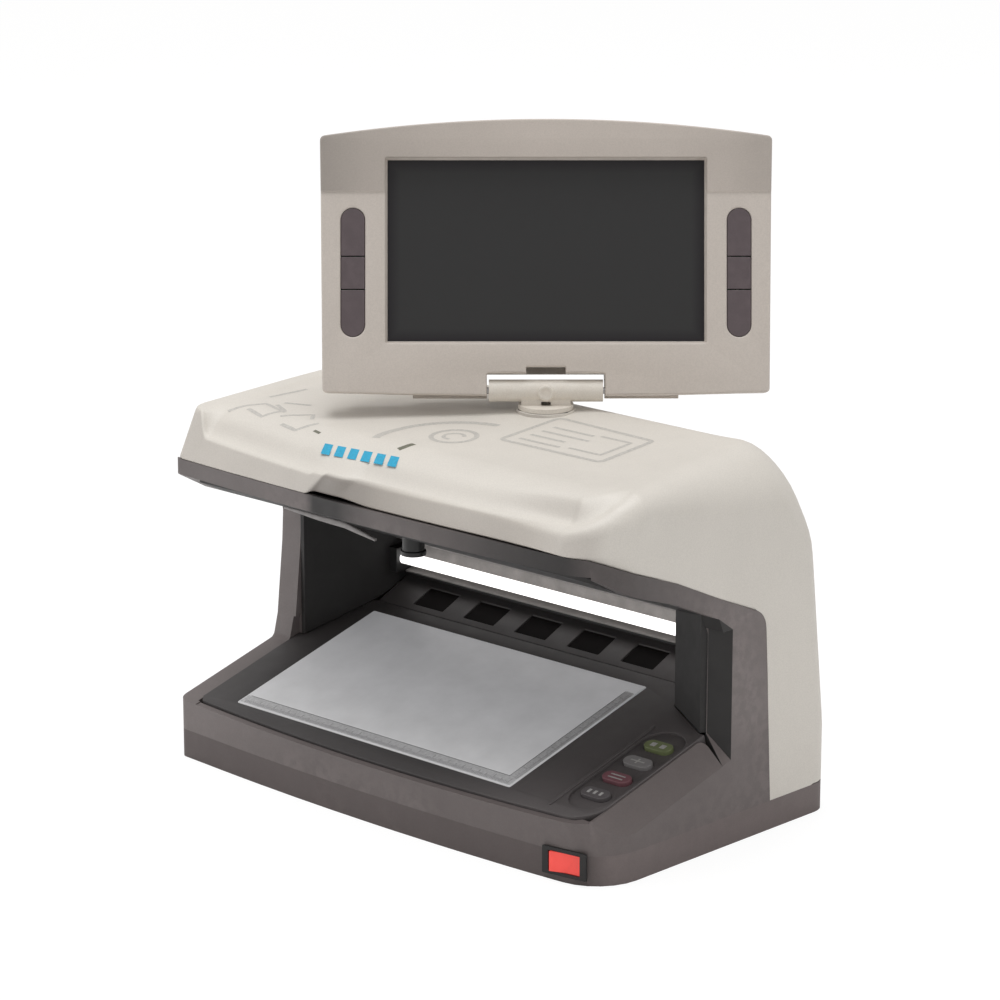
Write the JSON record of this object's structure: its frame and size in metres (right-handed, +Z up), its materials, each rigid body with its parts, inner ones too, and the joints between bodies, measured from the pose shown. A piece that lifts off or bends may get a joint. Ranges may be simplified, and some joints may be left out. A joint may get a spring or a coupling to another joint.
{
  "type": "counterfeit bill detector",
  "caption": "Counter-top banknote checker: lit, sloped bed and camera under an open-fronted hood, with a swivelling, tilting monitor on top.",
  "frame": {"origin": "centre of the body's footprint, on the plane that the tray and its rubber pads rest on", "axes": "+X to the operator's right, +Y away from the operator, +Z up"},
  "size_m": [0.2865, 0.2251, 0.3212],
  "materials": {
    "tray_plastic": "fine moulded texture",
    "foot_rubber": "matt",
    "screw_steel": "zinc plated",
    "casing_plastic": "fine moulded texture",
    "chamber_plastic": "matt",
    "cover_plastic": "fine moulded texture",
    "bed_plastic": "satin",
    "plate_acrylic": "translucent, satin",
    "circuit_board": "lacquered",
    "window_filter": "dark infrared filter",
    "lamp_glass": "white fluorescent tube",
    "black_plastic": "satin",
    "reflector_steel": "satin",
    "lens_glass": "polished",
    "button_grey": "satin",
    "button_red": "satin",
    "button_white": "satin",
    "button_green": "satin",
    "rocker_red": "translucent, lit from inside",
    "socket_metal": "plated",
    "hinge_plastic": "satin",
    "monitor_plastic": "fine moulded texture",
    "screen_dark": "anti-glare film",
    "key_plastic": "satin"
  },
  "bodies": {
    "body": {"base_tray": "tray_plastic", "rubber_feet": "foot_rubber", "case_screws": "screw_steel", "mid_casing": "casing_plastic", "chamber_liner": "chamber_plastic", "ceiling_panel": "chamber_plastic", "top_cover": "cover_plastic", "bed_frame": "bed_plastic", "viewing_plate": "plate_acrylic", "backlight_board": "circuit_board", "window_panel": "bed_plastic", "sensor_windows": "window_filter", "sensor_board": "circuit_board", "lamp_tube": "lamp_glass", "lamp_holders": "black_plastic", "lamp_reflector": "reflector_steel", "camera_barrel": "black_plastic", "camera_lens": "lens_glass", "camera_board": "circuit_board", "button_board": "circuit_board", "switch_bezel": "black_plastic", "power_supply": "circuit_board", "lamp_ballast": "circuit_board", "main_board": "circuit_board", "power_inlet": "black_plastic", "signal_sockets": "socket_metal", "hinge_plate": "cover_plastic", "hinge_screws": "screw_steel"},
    "grey_button": {"mode_button_grey": "button_grey"},
    "red_button": {"mode_button_red": "button_red"},
    "white_button": {"mode_button_white": "button_white"},
    "green_button": {"mode_button_green": "button_green"},
    "rocker": {"switch_rocker": "rocker_red"},
    "swivel": {"hinge_knuckle": "hinge_plastic", "swivel_nut": "screw_steel"},
    "monitor": {"hinge_pin": "screw_steel", "monitor_bezel": "monitor_plastic", "monitor_shell": "monitor_plastic", "lcd_panel": "screen_dark", "monitor_board": "circuit_board", "monitor_screws": "screw_steel", "key_boards": "circuit_board"},
    "key_l1": {"monitor_key_l1": "key_plastic"},
    "key_l2": {"monitor_key_l2": "key_plastic"},
    "key_l3": {"monitor_key_l3": "key_plastic"},
    "key_r1": {"monitor_key_r1": "key_plastic"},
    "key_r2": {"monitor_key_r2": "key_plastic"},
    "key_r3": {"monitor_key_r3": "key_plastic"}
  },
  "joints": [
    {"name": "grey_button_press", "type": "slide", "parent": "body", "child": "grey_button", "axis": [0, 0.2656, -0.9641], "range_m": [0, 0.0007], "stiffness_N_per_m": 900, "springref_m": -0.0006},
    {"name": "red_button_press", "type": "slide", "parent": "body", "child": "red_button", "axis": [0, 0.2656, -0.9641], "range_m": [0, 0.0007], "stiffness_N_per_m": 900, "springref_m": -0.0006},
    {"name": "white_button_press", "type": "slide", "parent": "body", "child": "white_button", "axis": [0, 0.2656, -0.9641], "range_m": [0, 0.0007], "stiffness_N_per_m": 900, "springref_m": -0.0006},
    {"name": "green_button_press", "type": "slide", "parent": "body", "child": "green_button", "axis": [0, 0.2656, -0.9641], "range_m": [0, 0.0007], "stiffness_N_per_m": 900, "springref_m": -0.0006},
    {"name": "rocker_tip", "type": "hinge", "parent": "body", "child": "rocker", "pos_m": [0.11922, -0.07682, 0.0097], "axis": [0, 0, 1], "range_deg": [-14, 0]},
    {"name": "monitor_swivel", "type": "hinge", "parent": "body", "child": "swivel", "pos_m": [0, 0.0363, 0.1837], "axis": [0, 0, 1], "range_deg": [-133.5, 46.5]},
    {"name": "monitor_tilt", "type": "hinge", "parent": "swivel", "child": "monitor", "pos_m": [0, 0.0363, 0.1927], "axis": [0.7254, 0.6884, 0], "range_deg": [-10, 105]},
    {"name": "key_l1_press", "type": "slide", "parent": "monitor", "child": "key_l1", "axis": [-0.6649, 0.7007, -0.2588], "range_m": [0, 0.001], "stiffness_N_per_m": 900, "springref_m": -0.0006},
    {"name": "key_l2_press", "type": "slide", "parent": "monitor", "child": "key_l2", "axis": [-0.6649, 0.7007, -0.2588], "range_m": [0, 0.001], "stiffness_N_per_m": 900, "springref_m": -0.0006},
    {"name": "key_l3_press", "type": "slide", "parent": "monitor", "child": "key_l3", "axis": [-0.6649, 0.7007, -0.2588], "range_m": [0, 0.001], "stiffness_N_per_m": 900, "springref_m": -0.0006},
    {"name": "key_r1_press", "type": "slide", "parent": "monitor", "child": "key_r1", "axis": [-0.6649, 0.7007, -0.2588], "range_m": [0, 0.001], "stiffness_N_per_m": 900, "springref_m": -0.0006},
    {"name": "key_r2_press", "type": "slide", "parent": "monitor", "child": "key_r2", "axis": [-0.6649, 0.7007, -0.2588], "range_m": [0, 0.001], "stiffness_N_per_m": 900, "springref_m": -0.0006},
    {"name": "key_r3_press", "type": "slide", "parent": "monitor", "child": "key_r3", "axis": [-0.6649, 0.7007, -0.2588], "range_m": [0, 0.001], "stiffness_N_per_m": 900, "springref_m": -0.0006}
  ]
}
